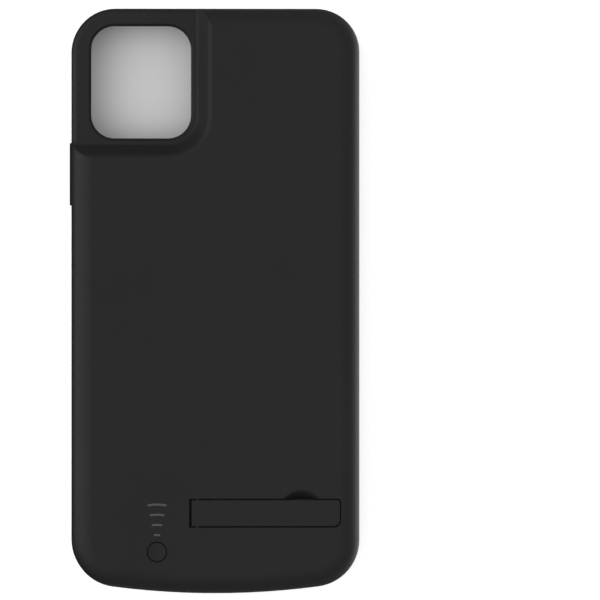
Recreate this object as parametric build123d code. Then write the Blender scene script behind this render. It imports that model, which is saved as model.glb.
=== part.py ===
from build123d import *
from math import asin, cos, degrees, radians, sin, sqrt, tan
import os

# Battery charging case with a cavity in its front. It lies on its front lip with its back up.
# X runs across the case, Y from its bottom end to its top end and Z out of its back.
# The origin is in the middle of the case, in the plane of the front lip. Millimetres.

# Size of what the case closes round, and the gap to it
phone_width = 75.7
phone_length = 150.9
phone_depth = 8.3
phone_corner = 9.9
phone_back_round = 3.0
phone_gap = 0.15

# Outline of the case
bumper_wall = 2.0
chin_length = 9.55
bottom_corner = 13.1
bow_radius = 220.0

# Levels, from the front lip to the back
lip_height = 1.0
lip_overlap = 0.9
tray_thickness = 0.8
tape_thickness = 0.15
cell_thickness = 3.7
cell_headroom = 0.35
shell_wall = 1.2

# Rounding of the back and the bumper
edge_round = 5.4
bay_round = 1.6
lip_round = 1.5
seam_chamfer = 0.25
edge_break = 0.15
fit = 0.05

# Camera window and the lowered bay around it
window_side = 2.5
window_top = 2.05
window_width = 29.2
window_height = 32.6
window_corner = 7.2
window_bevel = 0.7
bay_drop = 4.0
bay_margin = 1.0
ramp_angle = 50.0
foot_round = 1.0
crest_round = 2.0

# Kickstand and its recess in the back
stand_from_side = 5.3
stand_from_bottom = 22.37
stand_length = 42.26
stand_width = 7.87
stand_gap = 0.22
hinge_end_gap = 0.7
leg_thickness = 1.5
leg_under_gap = 0.15
leg_corner_low = 1.9
leg_corner_high = 0.8
leg_break = 0.2
hinge_drop = 1.1
heel_radius = 1.4
stop_angle = 80.0
stop_gap = 0.05
pin_radius = 0.5
pin_gap = 0.04
pin_hold = 1.4
recess_wall = 2.0
recess_floor = 0.9
scoop_from_end = 11.0
scoop_radius = 6.55
scoop_rise = 2.48
scoop_depth = 2.6

# Power button, the fan of charge lights and their guide
button_from_stand = 8.92
button_from_bottom = 11.6
button_hole = 2.78
button_gap = 0.16
button_flange = 0.75
button_flange_height = 0.5
button_stem = 1.2
button_dish = 0.12
light_count = 4
light_first = 4.74
light_pitch = 2.82
light_half_angle = 11.7
light_stroke = 0.67
guide_margin = 0.6
guide_height = 0.8
light_size = 1.4
light_height = 0.6
light_gap = 0.2

# Keys of the bumper
key_height = 3.4
key_round = 0.5
side_key_length = 17.4
side_key_from_top = 43.85
side_key_proud = 0.52
volume_key_length = 10.2
volume_up_from_top = 45.6
volume_down_from_top = 58.4
volume_field_depth = 0.5
volume_field_margin = 1.3
key_web = 0.8
key_nib = 1.4
switch_slot_length = 8.0
switch_slot_height = 4.8
switch_slot_from_top = 31.5

# Sound slots at each side of the chin
sound_slots = 5
sound_first = 12.0
sound_pitch = 3.0
sound_width = 1.5
sound_height = 3.0

# Chin block and bonded rib of the tray
chin_rise = 4.0
rib_inset = 2.3
rib_width = 0.6
rib_height = 0.45
post_radius = 1.2
boss_wall = 1.0
post_end_gap = 0.4
post_from_side = 9.0
post_from_bay = 13.15
post_from_top = 9.3
post_row_pitch = 24.0
post_from_bottom = 11.8

# Circuit board with its screws
board_standoff = 0.35
board_thickness = 0.8
board_inset = 2.6
board_from_bottom = 31.3
board_hole_gap = 0.3
screw_from_side = 11.0
screw_from_bottom = 27.8
low_screw_x = 16.0
low_screw_from_bottom = 11.3
screw_radius = 0.7
screw_head_radius = 1.4
screw_head_height = 0.9
screw_grip = 0.7
screw_pad = 1.9
switch_size = 3.6
switch_height = 1.5
plunger_radius = 0.75
plunger_rise = 0.5
plunger_depth = 0.4
press_travel = 0.4
press_gap = 0.05
inductor_from_button = 10.0
inductor_from_bottom = 18.3
inductor_size = 6.0
inductor_height = 2.2
inductor_corner = 1.2
main_chip_size = 4.0
main_chip_x = 9.5
main_chip_from_bottom = 12.3
side_chip_size = 3.0
left_chip_from_side = 16.5
left_chip_from_bottom = 27.6
right_chip_from_side = 15.5
right_chip_from_bottom = 14.8
chip_height = 0.8
capacitor_count = 5
capacitor_from_side = 20.5
capacitor_from_bottom = 8.1
capacitor_pitch = 1.8
capacitor_length = 1.6
capacitor_width = 0.8

# Input socket in the middle of the bottom end
socket_width = 9.0
socket_height = 3.2
socket_wall = 0.3
socket_length = 7.2
socket_setback = 0.6
socket_mouth_gap = 0.2
bezel_margin = 1.6
bezel_corner = 1.0
tongue_width = 6.7
tongue_thickness = 0.7
tongue_length = 4.6
tongue_setback = 0.8

# Plug in the chin that points into the cavity
plug_width = 6.7
plug_thickness = 1.5
plug_length = 6.65
plug_tip = 0.7
contact_count = 8
contact_pitch = 0.62
contact_width = 0.4
contact_length = 2.6
contact_depth = 0.06
contact_tip_gap = 1.2
plug_base_width = 11.0
plug_base_height = 4.2
plug_base_depth = 2.8
plug_nose_width = 8.6
plug_nose_height = 3.0
chin_wall = 1.2
plug_board_width = 14.0
plug_board_thickness = 0.6

# Battery cell with its protection board
cell_side_gap = 3.8
cell_bay_gap = 5.0
cell_from_bottom = 36.8
cell_round = 1.4
terrace_length = 4.2
terrace_inset = 4.0
terrace_thickness = 0.8
tape_margin = 5.0
tab_width = 5.0
tab_spread = 12.0
tab_thickness = 0.15
cell_board_width = 40.0
cell_board_length = 3.6
cell_board_thickness = 0.8
lead_radius = 0.5
lead_from_end = 7.0
lead_spread = 2.0
lead_reach = 2.6
lead_bend = 1.0

# Outline and levels that follow from these
case_width = phone_width + 2 * (phone_gap + bumper_wall)
case_length = bumper_wall + phone_gap + phone_length + chin_length
top_corner = phone_corner + phone_gap + bumper_wall
top_y = case_length / 2
bottom_y = -case_length / 2
phone_top = top_y - bumper_wall - phone_gap
phone_bottom = phone_top - phone_length
phone_middle = (phone_top + phone_bottom) / 2
floor_z = lip_height + phone_depth + phone_gap
phone_mid_z = lip_height + phone_depth / 2
tray_top = floor_z + tray_thickness
roof_z = tray_top + tape_thickness + cell_thickness + cell_headroom
back_z = roof_z + shell_wall
bay_z = back_z - bay_drop
board_low = tray_top + board_standoff
board_high = board_low + board_thickness
window_x = -phone_width / 2 + window_side + window_width / 2
window_y = phone_top - window_top - window_height / 2
bay_foot_x = window_x + window_width / 2 + bay_margin
bay_foot_y = window_y - window_height / 2 - bay_margin
stand_right = case_width / 2 - stand_from_side
stand_left = stand_right - stand_length
stand_middle = bottom_y + stand_from_bottom
hinge_z = back_z - hinge_drop
heel_reach = (heel_radius + hinge_drop * cos(radians(stop_angle))) / sin(radians(stop_angle))
hinge_x = stand_left + hinge_end_gap + heel_reach
leg_under = leg_thickness - hinge_drop
leg_width = stand_width - 2 * stand_gap
button_x = stand_left - button_from_stand
button_y = bottom_y + button_from_bottom
board_top = bottom_y + board_from_bottom
cell_width = case_width - 2 * (shell_wall + cell_side_gap)
cell_bottom = bottom_y + cell_from_bottom
cell_top = bay_foot_y - cell_bay_gap
chin_face = phone_bottom - phone_gap
sliver = 0.02
reach = 2 * case_length


def prism(plan, low, high):
    """Straight solid over a plan, between two levels."""
    return Pos(0, 0, low) * extrude(plan, high - low)


def round_post(x, y, low, high, radius):
    """Upright cylinder at a place, between two levels."""
    return prism(Pos(x, y) * Circle(radius), low, high)


def block(x0, x1, y0, y1, z0, z1):
    """Box between two corners."""
    return Pos((x0 + x1) / 2, (y0 + y1) / 2, (z0 + z1) / 2) * Box(x1 - x0, y1 - y0, z1 - z0)


def case_outline(inset=0.0):
    """Plan of the case with its bowed bottom end, moved inwards by an inset."""
    sides = Rectangle(case_width - 2 * inset, case_length - 2 * inset)
    bow = Pos(0, bottom_y + bow_radius) * Circle(bow_radius - inset)
    plan = sides & bow
    plan = fillet(plan.vertices().sort_by(Axis.Y)[-2:], top_corner - inset)
    return fillet(plan.vertices().sort_by(Axis.Y)[:2], bottom_corner - inset)


def phone_plan(grow):
    """Plan of what the case closes round, grown by a gap or shrunk by an overlap."""
    plan = RectangleRounded(phone_width + 2 * grow, phone_length + 2 * grow, phone_corner + grow)
    return Pos(0, phone_middle) * plan


def rounded_top(solid, radius):
    """Solid with its top edges rounded."""
    return fillet(solid.faces().sort_by(Axis.Z)[-1].edges(), radius)


def bay_prism(section):
    """Sweep of a section round the camera bay's foot line, with the bay filled in behind it."""
    corner = window_corner + bay_margin
    start = -case_width
    stop = case_length
    run = Line((start, bay_foot_y), (bay_foot_x - corner, bay_foot_y))
    turn = CenterArc((bay_foot_x - corner, bay_foot_y + corner), corner, -90, 90)
    rise = Line((bay_foot_x, bay_foot_y + corner), (bay_foot_x, stop))
    facing = Plane(origin=(start, bay_foot_y, 0), x_dir=(0, -1, 0), z_dir=(-1, 0, 0))
    swept = sweep(facing * section, path=Curve() + [run, turn, rise])
    box = section.bounding_box()
    core_edge = -box.min.X - bay_margin / 4
    core = block(start, bay_foot_x - core_edge, bay_foot_y + core_edge, stop, box.min.Y, box.max.Y)
    return swept + core


def ramp_at(level):
    """Distance of the ramp from the bay's foot line at a level."""
    return (level - bay_z) / tan(radians(ramp_angle))


def outer_form():
    """Outside of the back: a rounded bulge with a lowered bay round the camera window."""
    bulge_round = min(edge_round, back_z - floor_z - 2 * seam_chamfer)
    low_round = min(bay_round, bay_z - floor_z - 2 * seam_chamfer)
    bulge = rounded_top(prism(case_outline(), floor_z, back_z), bulge_round)
    low = rounded_top(prism(case_outline(), floor_z, bay_z), low_round)
    depth = window_corner + bay_margin / 2
    foot = (ramp_at(bay_z - sliver), bay_z - sliver)
    crest = (ramp_at(back_z + sliver), back_z + sliver)
    low_ledge = foot_round * tan(radians(ramp_angle) / 2) + bay_margin / 4
    high_ledge = crest_round * tan(radians(ramp_angle) / 2) + bay_margin / 4
    high = back_z + shell_wall
    section = Polygon(
        (-depth, floor_z),
        (-low_ledge, floor_z),
        (-low_ledge, foot[1]),
        foot,
        crest,
        (crest[0] + high_ledge, crest[1]),
        (crest[0] + high_ledge, high),
        (-depth, high),
        align=None,
    )
    section = fillet(section.vertices().sort_by_distance((*foot, 0))[:1], foot_round)
    section = fillet(section.vertices().sort_by_distance((*crest, 0))[:1], crest_round)
    form = bulge - bay_prism(section) + low
    return chamfer(form.faces().sort_by(Axis.Z)[0].edges(), seam_chamfer)


def inner_form():
    """Hollow of the back: the bulge one wall thickness inside, open towards the tray."""
    bulge_round = min(edge_round, back_z - floor_z - 2 * seam_chamfer) - shell_wall
    hollow = rounded_top(prism(case_outline(shell_wall), floor_z, roof_z), bulge_round)
    depth = window_corner + bay_margin / 2
    behind = shell_wall / sin(radians(ramp_angle))
    high = roof_z + shell_wall
    section = Polygon(
        (-depth, tray_top),
        (ramp_at(tray_top) + behind, tray_top),
        (ramp_at(high) + behind, high),
        (-depth, high),
        align=None,
    )
    return hollow - bay_prism(section)


def window_plan(inset):
    """Plan of the camera window's rim, moved inwards by an inset."""
    size = (window_width - 2 * inset, window_height - 2 * inset)
    return Pos(window_x, window_y) * RectangleRounded(*size, window_corner - inset)


def post_places():
    """Places of the posts that join the tray to the rear shell."""
    side = case_width / 2 - post_from_side
    top = top_y - post_from_top
    low = bottom_y + post_from_bottom
    upper = [(x, y) for x in (bay_foot_x + post_from_bay, side) for y in (top - post_row_pitch, top)]
    return upper + [(-side, low), (side, low)]


def screw_places():
    """Places of the screws that hold the circuit board."""
    side = case_width / 2 - screw_from_side
    high = bottom_y + screw_from_bottom
    return [(-side, high), (side, high), (low_screw_x, bottom_y + low_screw_from_bottom)]


def light_bar(number, grow=0.0):
    """Plan of one charge light: part of a ring about the power button."""
    radius = light_first + number * light_pitch
    half = light_stroke / 2 + grow
    turn = light_half_angle + degrees(grow / radius)
    outer = CenterArc((button_x, button_y), radius + half, 90 - turn, 2 * turn)
    inner = CenterArc((button_x, button_y), radius - half, 90 - turn, 2 * turn)
    ends = [Line(outer @ 0, inner @ 0), Line(outer @ 1, inner @ 1)]
    return make_face(Curve() + [outer, inner, *ends])


def stand_plan(gap):
    """Plan of the kickstand's recess, moved inwards by a gap at its free end and sides."""
    x0 = stand_left
    x1 = stand_right - gap
    half = stand_width / 2 - gap
    plan = Pos((x0 + x1) / 2, stand_middle) * Rectangle(x1 - x0, 2 * half)
    ends = plan.vertices().group_by(Axis.X)[-1].sort_by(Axis.Y)
    plan = fillet(ends[0], leg_corner_low + stand_gap - gap)
    ends = plan.vertices().sort_by_distance((x1, stand_middle + half, 0))
    return fillet(ends[0], leg_corner_high + stand_gap - gap)


def rim_cutter(plan, level, bevel):
    """Cutter that bevels the rim of an opening at a level, from its plan grown by the bevel."""
    cutter = prism(plan, level - bevel, level + shell_wall)
    return chamfer(cutter.faces().sort_by(Axis.Z)[0].edges(), bevel)


def rear_shell():
    """Hard rear cover with the camera bay, kickstand recess and inner bosses."""
    outside = outer_form()
    shell = outside - inner_form()
    floor = hinge_z - leg_under - leg_under_gap
    pocket = hinge_z - heel_radius - stop_gap
    hinge_end = hinge_x + heel_radius + stand_gap
    y0 = stand_middle - stand_width / 2
    y1 = stand_middle + stand_width / 2
    carrier = block(
        stand_left - recess_wall, stand_right + recess_floor, y0 - recess_wall, y1 + recess_wall,
        floor - recess_floor, back_z,
    )
    hinge_carrier = block(
        stand_left - recess_wall, hinge_end + recess_floor, y0 - recess_wall, y1 + recess_wall,
        pocket - recess_floor, back_z,
    )
    shell += (carrier + hinge_carrier) & outside
    for x, y in post_places():
        boss = round_post(x, y, tray_top + post_end_gap, roof_z, post_radius + fit + boss_wall)
        bore = round_post(x, y, tray_top, roof_z - post_end_gap, post_radius + fit)
        shell += boss & outside
        shell -= bore
    shell -= prism(window_plan(window_bevel), floor_z, back_z)
    shell -= rim_cutter(window_plan(0), bay_z, window_bevel)
    shell -= prism(stand_plan(0), floor, back_z + shell_wall)
    shell -= rim_cutter(stand_plan(-edge_break), back_z, edge_break)
    shell -= block(stand_left, hinge_end, y0, y1, pocket, back_z + shell_wall)
    pin_reach = stand_width / 2 + pin_hold + pin_gap
    pin_line = Plane(origin=(hinge_x, stand_middle, hinge_z), z_dir=(0, 1, 0))
    shell -= extrude(pin_line * Circle(pin_radius + pin_gap), pin_reach, both=True)
    scoop_centre = y1 + scoop_rise - scoop_radius
    scoop_ball = (scoop_radius ** 2 + scoop_depth ** 2) / (2 * scoop_depth)
    scoop_x = stand_right - scoop_from_end
    scoop = Pos(scoop_x, scoop_centre, back_z - scoop_depth + scoop_ball) * Sphere(scoop_ball)
    above_leg = block(stand_left, stand_right, stand_middle, y1 + scoop_rise, floor, back_z + shell_wall)
    shell -= scoop & above_leg
    shell -= round_post(button_x, button_y, roof_z - shell_wall, back_z + shell_wall, button_hole)
    hole_rim = Pos(button_x, button_y) * Circle(button_hole + edge_break)
    shell -= rim_cutter(hole_rim, back_z, edge_break)
    for number in range(light_count):
        shell -= prism(light_bar(number), roof_z - shell_wall, back_z + shell_wall)
    shell += mouth_bezel(0)
    return shell - socket_tube(-socket_mouth_gap, bottom_y - shell_wall, shell_wall + 2 * bumper_wall)


def socket_middle_z():
    """Level of the middle of the input socket."""
    return board_low - socket_height / 2


def mouth_bezel(gap):
    """Part of the shell that comes down round the input socket, or with a gap its notch in the bumper."""
    width = socket_width + 2 * (bezel_margin + gap)
    low = socket_middle_z() - socket_height / 2 - socket_mouth_gap - bezel_margin / 2 - gap
    high = floor_z + seam_chamfer
    front = RectangleRounded(width, 2 * (high - low), bezel_corner)
    front = Plane(origin=(0, 0, high), x_dir=(1, 0, 0), z_dir=(0, -1, 0)) * front
    wall = prism(case_outline() - case_outline(bumper_wall), low - gap, floor_z)
    wall += prism(case_outline() - case_outline(shell_wall), floor_z, high)
    return wall & extrude(front, reach)


def chin_plan(inset):
    """Plan of the chin block below the cavity, inside the bumper."""
    below = Pos(0, phone_bottom + chin_rise - reach / 2) * Rectangle(reach, reach)
    return case_outline(inset) & below


def phone_space(gap):
    """Cavity of the case, with rounded back edges, grown by a gap."""
    room = prism(phone_plan(gap), lip_height, floor_z + phone_gap)
    return rounded_top(room, phone_back_round)


def bumper_frame():
    """Soft frame round the cavity, with its front lip, keys and sound slots."""
    frame = prism(case_outline(), 0, floor_z)
    frame = fillet(frame.faces().sort_by(Axis.Z)[0].edges(), lip_round)
    frame = chamfer(frame.faces().sort_by(Axis.Z)[-1].edges(), seam_chamfer)
    frame -= phone_space(phone_gap)
    frame -= prism(chin_plan(bumper_wall), lip_height, floor_z)
    frame -= prism(phone_plan(-lip_overlap), -lip_height, 2 * lip_height)
    frame -= rib_ring(fit)
    frame += side_key()
    frame -= key_relief(-1, side_key_from_top, side_key_length)
    frame -= volume_field()
    for from_top in (volume_up_from_top, volume_down_from_top):
        frame += volume_key(from_top)
        frame -= key_relief(1, from_top, volume_key_length)
    frame -= switch_slot()
    frame -= mouth_bezel(fit)
    return frame - sound_cuts()


def key_pad(length, height, thickness):
    """Rounded key, flat on the YZ plane and standing along +X."""
    plan = Plane.YZ * RectangleRounded(length, height, key_round)
    return extrude(plan, thickness)


def side_key():
    """Raised key in the left wall."""
    pad = key_pad(side_key_length, key_height, bumper_wall / 2 + side_key_proud)
    pad = fillet(pad.faces().sort_by(Axis.X)[-1].edges(), side_key_proud / 2)
    place = Pos(-case_width / 2 + bumper_wall / 2, phone_top - side_key_from_top, phone_mid_z)
    return place * Rot(0, 0, 180) * pad


def volume_field():
    """Shallow field in the outer wall, in which the two volume keys stand."""
    first = volume_up_from_top - volume_key_length / 2 - volume_field_margin
    last = volume_down_from_top + volume_key_length / 2 + volume_field_margin
    pad = key_pad(last - first, key_height + 2 * volume_field_margin, bumper_wall)
    return Pos(case_width / 2 - volume_field_depth, phone_top - (first + last) / 2, phone_mid_z) * pad


def volume_key(from_top):
    """One volume key, level with the outer wall."""
    pad = key_pad(volume_key_length, key_height, bumper_wall / 2)
    pad = fillet(pad.faces().sort_by(Axis.X)[-1].edges(), volume_field_depth / 2)
    return Pos(case_width / 2 - bumper_wall / 2, phone_top - from_top, phone_mid_z) * pad


def key_relief(side, from_top, length):
    """Groove inside the wall that lets a key give way, round the nib that presses the button."""
    depth = bumper_wall - volume_field_depth - key_web
    inner = side * (case_width / 2 - bumper_wall)
    place = Pos(inner, phone_top - from_top, phone_mid_z) * Rot(0, 0, 0 if side > 0 else 180)
    groove = key_pad(length, key_height, depth)
    nib = key_pad(length - 2 * key_nib, key_height - key_nib, depth)
    return place * (groove - nib)


def switch_slot():
    """Opening in the right wall that leaves a ring switch free."""
    plan = Plane.YZ * SlotOverall(switch_slot_length, switch_slot_height)
    bar = extrude(plan, 2 * bumper_wall, both=True)
    return Pos(case_width / 2, phone_top - switch_slot_from_top, phone_mid_z) * bar


def sound_cuts():
    """Two rows of slots through the chin that let sound pass."""
    cuts = Part()
    for side in (-1, 1):
        for number in range(sound_slots):
            x = side * (sound_first + number * sound_pitch)
            plan = Plane.XZ * RectangleRounded(sound_width, sound_height, sound_width / 2 - sliver)
            cuts += Pos(x, chin_face + phone_gap, phone_mid_z) * extrude(plan, 2 * chin_length)
    return cuts


def rib_ring(gap):
    """Bonding rib under the tray's edge, or with a gap the groove that takes it."""
    outer = case_outline(rib_inset - gap)
    inner = case_outline(rib_inset + rib_width + gap)
    ring = prism(outer - inner, floor_z - rib_height - gap, floor_z)
    return ring - block(-reach, reach, -reach, phone_bottom + chin_rise + rib_width, 0, back_z)


def inner_tray():
    """Hard tray behind the cavity, with the chin block that holds the plug."""
    tray = prism(case_outline(shell_wall + fit), floor_z, tray_top)
    tray += rib_ring(0)
    tray += prism(chin_plan(bumper_wall + fit), lip_height, floor_z) - phone_space(phone_gap)
    for x, y in post_places():
        tray += round_post(x, y, tray_top, roof_z - 2 * post_end_gap, post_radius)
    for x, y in screw_places():
        tray += round_post(x, y, tray_top, board_low, screw_pad)
        tray -= round_post(x, y, board_low - screw_grip, board_low, screw_radius)
    tray -= prism(window_plan(window_bevel), floor_z, tray_top)
    tray -= plug_pocket()
    tray -= socket_pocket()
    return tray - sound_cuts()


def plug_back():
    """Position along Y of the back of the plug's base."""
    return chin_face - chin_wall - plug_base_depth


def nose_plan(gap):
    """Section of the plug base's nose, grown by a gap."""
    return RectangleRounded(plug_nose_width + 2 * gap, plug_nose_height + 2 * gap, plug_nose_height / 3)


def plug_pocket():
    """Pocket in the chin block for the plug's base and board, with the nose's way through."""
    half = plug_board_width / 2 + fit
    back = plug_back() - plug_board_thickness - fit
    low = phone_mid_z - plug_base_height / 2 - fit
    pocket = block(-half, half, back, chin_face - chin_wall, low, tray_top)
    nose = Plane.XZ * nose_plan(fit)
    return pocket + Pos(0, chin_face + phone_gap, phone_mid_z) * extrude(nose, chin_wall + 2 * phone_gap)


def socket_pocket():
    """Room in the chin block and the tray for the input socket."""
    half = socket_width / 2 + socket_mouth_gap
    low = socket_middle_z() - socket_height / 2 - fit
    return block(-half, half, -reach, socket_mouth() + socket_length + fit, low, board_low)


def kickstand_leg():
    """Flat leg with a barrel and a heel that stops it when it is open."""
    far = stand_right - stand_gap - hinge_x
    edge = sqrt(heel_radius ** 2 - leg_under ** 2)
    stop = radians(stop_angle)
    contact = (-heel_radius * sin(stop), -heel_radius * cos(stop))
    start = 270 - stop_angle
    sweep_angle = 360 - degrees(asin(leg_under / heel_radius)) - start
    heel = (-heel_reach, hinge_drop)
    top = Polyline(contact, heel, (far, hinge_drop), (far, -leg_under), (edge, -leg_under))
    barrel = CenterArc((0, 0), heel_radius, start, sweep_angle)
    outline = Curve() + [top, barrel]
    side = Plane(origin=(hinge_x, stand_middle, hinge_z), x_dir=(1, 0, 0), z_dir=(0, -1, 0))
    leg = extrude(side * make_face(outline), leg_width / 2, both=True)
    blank = prism(stand_plan(stand_gap), hinge_z - 2 * heel_radius, back_z)
    leg &= chamfer(blank.faces().sort_by(Axis.Z)[-1].edges(), leg_break)
    leg &= outer_form()
    leg -= extrude(side * Circle(pin_radius), leg_width, both=True)
    return leg


def kickstand_pin():
    """Hinge pin, held in the leg and turning in the shell."""
    side = Plane(origin=(hinge_x, stand_middle, hinge_z), x_dir=(1, 0, 0), z_dir=(0, -1, 0))
    return extrude(side * Circle(pin_radius), stand_width / 2 + pin_hold, both=True)


def plunger_top():
    """Level of the top of the button's switch."""
    return board_high + switch_height + plunger_rise


def power_button():
    """Round button, level with the back, kept in by a flange behind the shell."""
    radius = button_hole - button_gap
    cap = round_post(button_x, button_y, roof_z - fit, back_z, radius)
    cap = chamfer(cap.faces().sort_by(Axis.Z)[-1].edges(), edge_break)
    flange_low = roof_z - fit - button_flange_height
    flange = round_post(button_x, button_y, flange_low, roof_z - fit, button_hole + button_flange)
    stem = round_post(button_x, button_y, plunger_top() + press_gap, flange_low, button_stem)
    dish_radius = radius - 2 * edge_break
    ball = (dish_radius ** 2 + button_dish ** 2) / (2 * button_dish)
    dish = Pos(button_x, button_y, back_z - button_dish + ball) * Sphere(ball)
    return cap + flange + stem - dish


def switch_housing():
    """Housing of the push switch under the button."""
    half = switch_size / 2
    housing = block(-half, half, -half, half, board_high, board_high + switch_height)
    housing = Pos(button_x, button_y) * chamfer(housing.edges().filter_by(Axis.Z), switch_size / 8)
    room = plunger_depth + press_travel + press_gap
    top = board_high + switch_height
    return housing - round_post(button_x, button_y, top - room, top, plunger_radius + fit)


def switch_plunger():
    """Plunger of the push switch."""
    low = board_high + switch_height - plunger_depth
    return round_post(button_x, button_y, low, plunger_top(), plunger_radius)


def light_guide():
    """Clear guide that fills the four light bars and reaches down to the lights."""
    base_top = roof_z - fit
    base_low = base_top - guide_height
    middle = light_first + (light_count - 1) * light_pitch / 2
    stroke = (light_count - 1) * light_pitch + light_stroke + 2 * guide_margin
    arc = CenterArc((button_x, button_y), middle, 90 - light_half_angle, 2 * light_half_angle)
    guide = prism(SlotArc(arc, stroke / 2), base_low, base_top)
    spine = Box(light_size, stroke, guide_height)
    guide += Pos(button_x, button_y + middle, (base_low + base_top) / 2) * spine
    for number in range(light_count):
        guide += prism(light_bar(number, -fit), base_low, back_z - fit)
        y = button_y + light_first + number * light_pitch
        low = board_high + light_height + light_gap
        guide += Pos(button_x, y, (low + base_low) / 2) * Box(light_size, light_size, base_low - low)
    return guide


def indicator_leds():
    """Row of surface-mounted lights under the guide."""
    lights = []
    for number in range(light_count):
        y = button_y + light_first + number * light_pitch
        lights.append(on_board(button_x, y, light_size, light_size, light_height).solid())
    return Compound(lights)


def main_board():
    """Circuit board along the lower end, with holes for the posts and the screws."""
    above = Pos(0, board_top + reach / 2) * Rectangle(reach, reach)
    board = prism(case_outline(board_inset) - above, board_low, board_high)
    for x, y in post_places():
        board -= round_post(x, y, 0, back_z, post_radius + fit + boss_wall + board_hole_gap)
    for x, y in screw_places():
        board -= round_post(x, y, 0, back_z, screw_radius + fit)
    return board


def board_screws():
    """Small screws that hold the board to the tray."""
    screws = []
    for x, y in screw_places():
        shank = round_post(x, y, board_low - screw_grip, board_high, screw_radius)
        head = round_post(x, y, board_high, board_high + screw_head_height, screw_head_radius)
        head = chamfer(head.faces().sort_by(Axis.Z)[-1].edges(), screw_head_height / 3)
        screws.append(shank + head)
    return Compound([screw.solid() for screw in screws])


def on_board(x, y, width, length, height):
    """Box that stands on the board."""
    return Pos(x, y, board_high + height / 2) * Box(width, length, height)


def boost_inductor():
    """Moulded inductor of the output stage."""
    x = button_x - inductor_from_button
    y = bottom_y + inductor_from_bottom
    body = on_board(x, y, inductor_size, inductor_size, inductor_height)
    return chamfer(body.edges().filter_by(Axis.Z), inductor_corner)


def control_chips():
    """Flat chips that run the charging."""
    left = left_chip_from_side - case_width / 2
    right = case_width / 2 - right_chip_from_side
    places = [
        (main_chip_x, main_chip_from_bottom, main_chip_size),
        (left, left_chip_from_bottom, side_chip_size),
        (right, right_chip_from_bottom, side_chip_size),
    ]
    chips = [on_board(x, bottom_y + rise, size, size, chip_height) for x, rise, size in places]
    return Compound([chip.solid() for chip in chips])


def board_capacitors():
    """Row of small capacitors."""
    row = []
    y = bottom_y + capacitor_from_bottom
    for number in range(capacitor_count):
        x = case_width / 2 - capacitor_from_side + number * capacitor_pitch
        row.append(on_board(x, y, capacitor_width, capacitor_length, capacitor_width).solid())
    return Compound(row)


def socket_mouth():
    """Position along Y of the input socket's open end."""
    return bottom_y + socket_setback


def socket_tube(shrink, start, length):
    """Rounded bar along the input socket's line."""
    plan = RectangleRounded(
        socket_width - 2 * shrink, socket_height - 2 * shrink, socket_height / 2 - shrink - sliver,
    )
    line = Plane(origin=(0, start, socket_middle_z()), x_dir=(1, 0, 0), z_dir=(0, -1, 0))
    return extrude(line * plan, -length)


def input_socket_shell():
    """Metal shell of the input socket."""
    tube = socket_tube(0, socket_mouth(), socket_length)
    return tube - socket_tube(socket_wall, socket_mouth() - socket_wall, socket_length + 2 * socket_wall)


def input_socket_tongue():
    """Insulator of the input socket, with the contact tongue."""
    deep = socket_mouth() + socket_length
    back_length = socket_length - tongue_length - tongue_setback
    back = socket_tube(socket_wall, deep - back_length, back_length)
    plan = RectangleRounded(tongue_width, tongue_thickness, tongue_thickness / 2 - sliver)
    line = Plane(origin=(0, deep - back_length, socket_middle_z()), x_dir=(1, 0, 0), z_dir=(0, -1, 0))
    return back + extrude(line * plan, tongue_length)


def charge_plug():
    """Blade of the plug in the chin."""
    plan = RectangleRounded(plug_width, plug_thickness, plug_thickness / 2 - sliver)
    line = Plane(origin=(0, chin_face, phone_mid_z), x_dir=(1, 0, 0), z_dir=(0, -1, 0))
    blade = extrude(line * plan, -plug_length)
    blade = fillet(blade.faces().sort_by(Axis.Y)[-1].edges(), plug_tip)
    for pad in contact_pads():
        blade -= pad
    return blade


def contact_pads():
    """Contacts on the two flat faces of the blade."""
    pads = []
    y = chin_face + plug_length - contact_tip_gap - contact_length / 2
    for side in (-1, 1):
        z = phone_mid_z + side * (plug_thickness - contact_depth) / 2
        for number in range(contact_count):
            x = (number - (contact_count - 1) / 2) * contact_pitch
            pads.append(Pos(x, y, z) * Box(contact_width, contact_length, contact_depth))
    return pads


def plug_contacts():
    """Gilded contacts of the plug."""
    return Compound([pad.solid() for pad in contact_pads()])


def plug_base():
    """Moulded base that holds the blade in the chin."""
    base = Pos(0, chin_face, phone_mid_z) * extrude(Plane.XZ * nose_plan(0), chin_wall)
    half = plug_base_width / 2
    low = phone_mid_z - plug_base_height / 2
    high = phone_mid_z + plug_base_height / 2
    return base + block(-half, half, plug_back(), chin_face - chin_wall, low, high)


def plug_board():
    """Upright board between the plug and the main board, forked round the input socket."""
    half = plug_board_width / 2
    low = phone_mid_z - plug_base_height / 2
    board = block(-half, half, plug_back() - plug_board_thickness, plug_back(), low, board_low)
    return board - socket_pocket()


def battery_cell():
    """Flat pouch cell with the sealed terrace at its lower end."""
    low = tray_top + tape_thickness
    high = low + cell_thickness
    half = cell_width / 2
    body = block(-half, half, cell_bottom, cell_top, low, high)
    body = fillet(body.edges().filter_by(Axis.Y), cell_round)
    body = fillet(body.faces().sort_by(Axis.Y)[-1].edges().sort_by(Axis.Z)[-1:], cell_round)
    seal = half - terrace_inset
    return body + block(-seal, seal, cell_bottom - terrace_length, cell_bottom, low, terrace_top())


def terrace_top():
    """Level of the top of the cell's terrace."""
    return tray_top + tape_thickness + terrace_thickness


def cell_tape():
    """Adhesive sheet between the cell and the tray."""
    plan = Rectangle(cell_width - 2 * tape_margin, cell_top - cell_bottom - 2 * tape_margin)
    return prism(Pos(0, (cell_bottom + cell_top) / 2) * plan, tray_top, tray_top + tape_thickness)


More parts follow.
